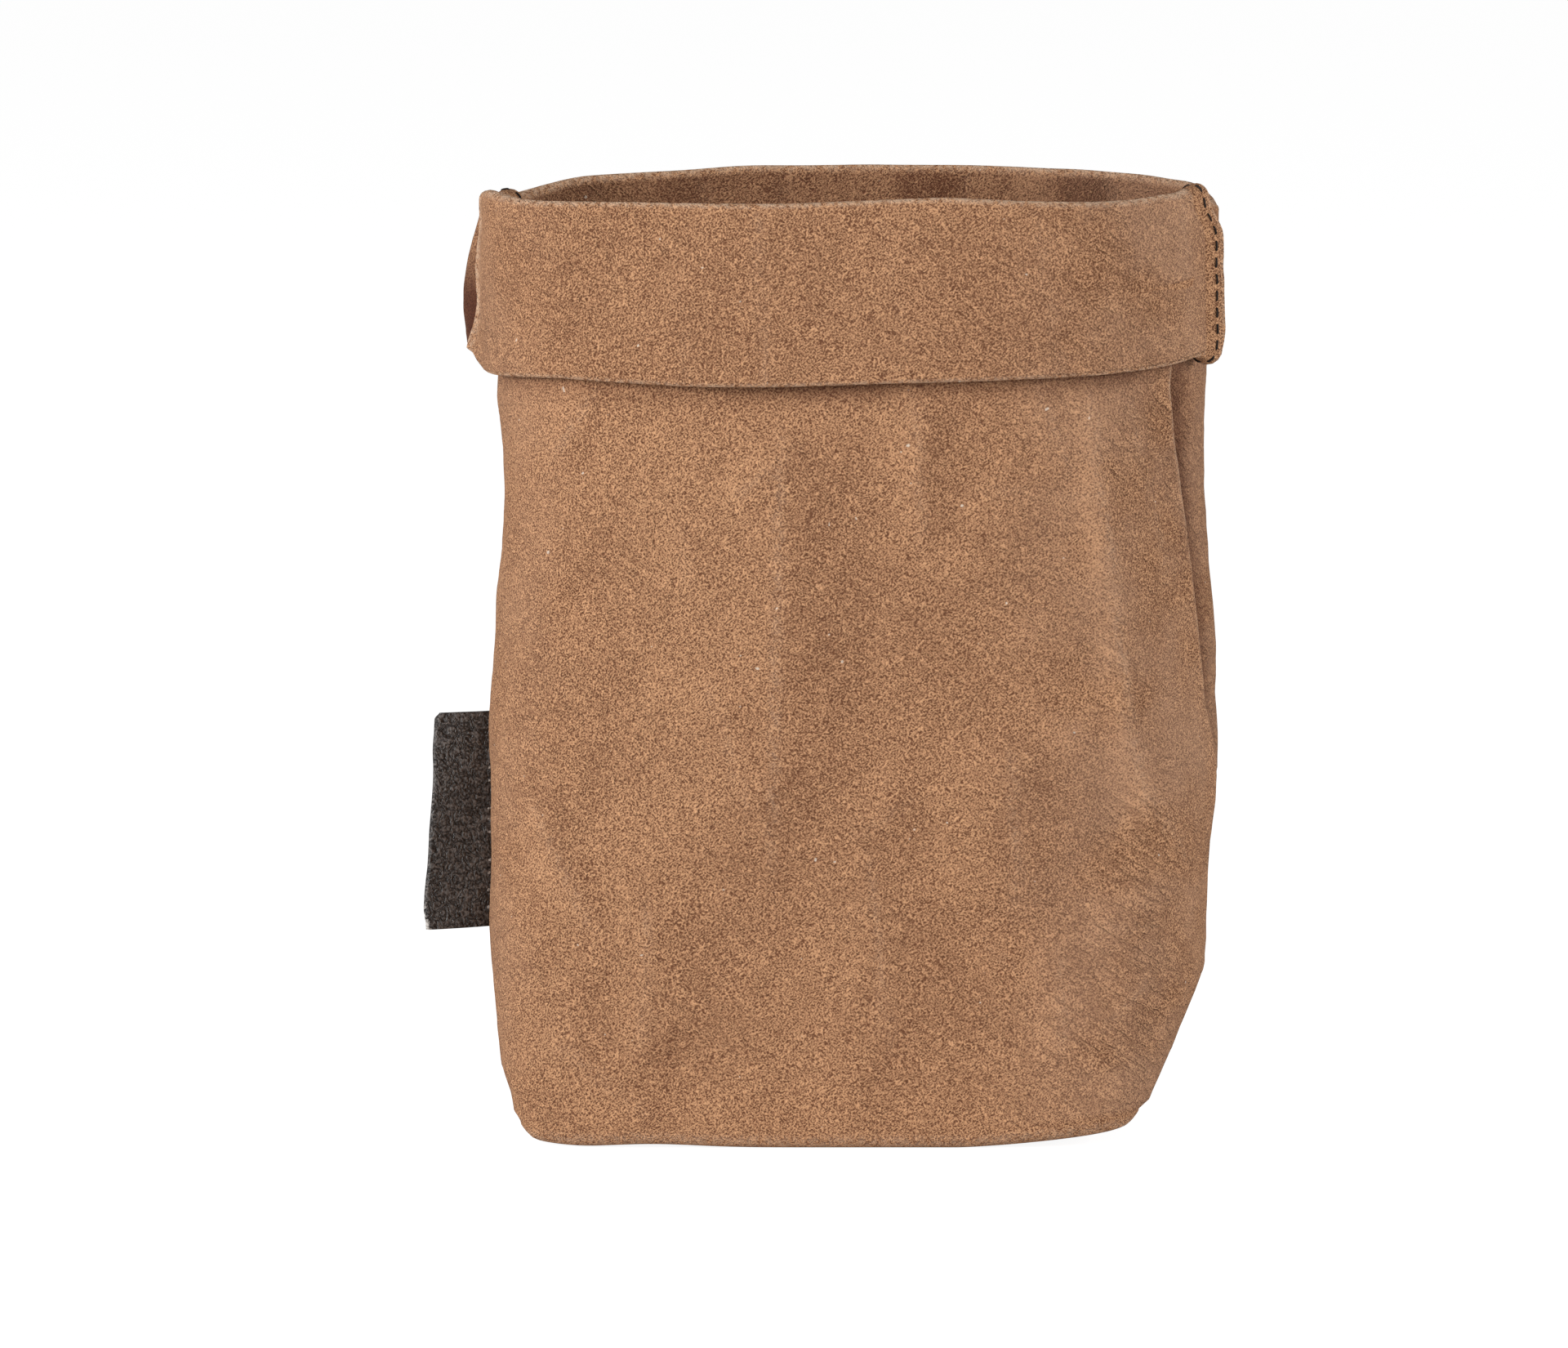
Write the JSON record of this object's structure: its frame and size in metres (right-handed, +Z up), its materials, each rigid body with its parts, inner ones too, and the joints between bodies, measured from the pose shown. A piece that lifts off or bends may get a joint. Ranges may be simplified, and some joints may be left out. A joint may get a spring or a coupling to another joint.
{
  "type": "paper bread basket",
  "caption": "Tall stitched bag of washable kraft paper for bread, standing open with its top rolled down into a cuff, and a bare folded label in one side seam.",
  "frame": {"origin": "on the floor, at the middle of the flat underside of the base", "axes": "+Z up towards the open mouth, front panel towards -Y, +X towards the right side seam as seen from the front; the label is in the left side seam, towards -X"},
  "size_m": [0.1734, 0.0992, 0.2035],
  "materials": {
    "kraft_paper": "matte, leather-like washable paper",
    "label_paper": "satin coated paper",
    "dark_thread": "matte twisted thread"
  },
  "bodies": {
    "root": {"basket_body": "kraft_paper", "side_label": "label_paper", "right_seam_needle_thread": "dark_thread", "right_seam_bobbin_thread": "dark_thread", "right_corner_needle_thread": "dark_thread", "right_corner_bobbin_thread": "dark_thread", "left_seam_needle_thread": "dark_thread", "left_seam_bobbin_thread": "dark_thread", "left_corner_needle_thread": "dark_thread", "left_corner_bobbin_thread": "dark_thread"}
  },
  "joints": []
}
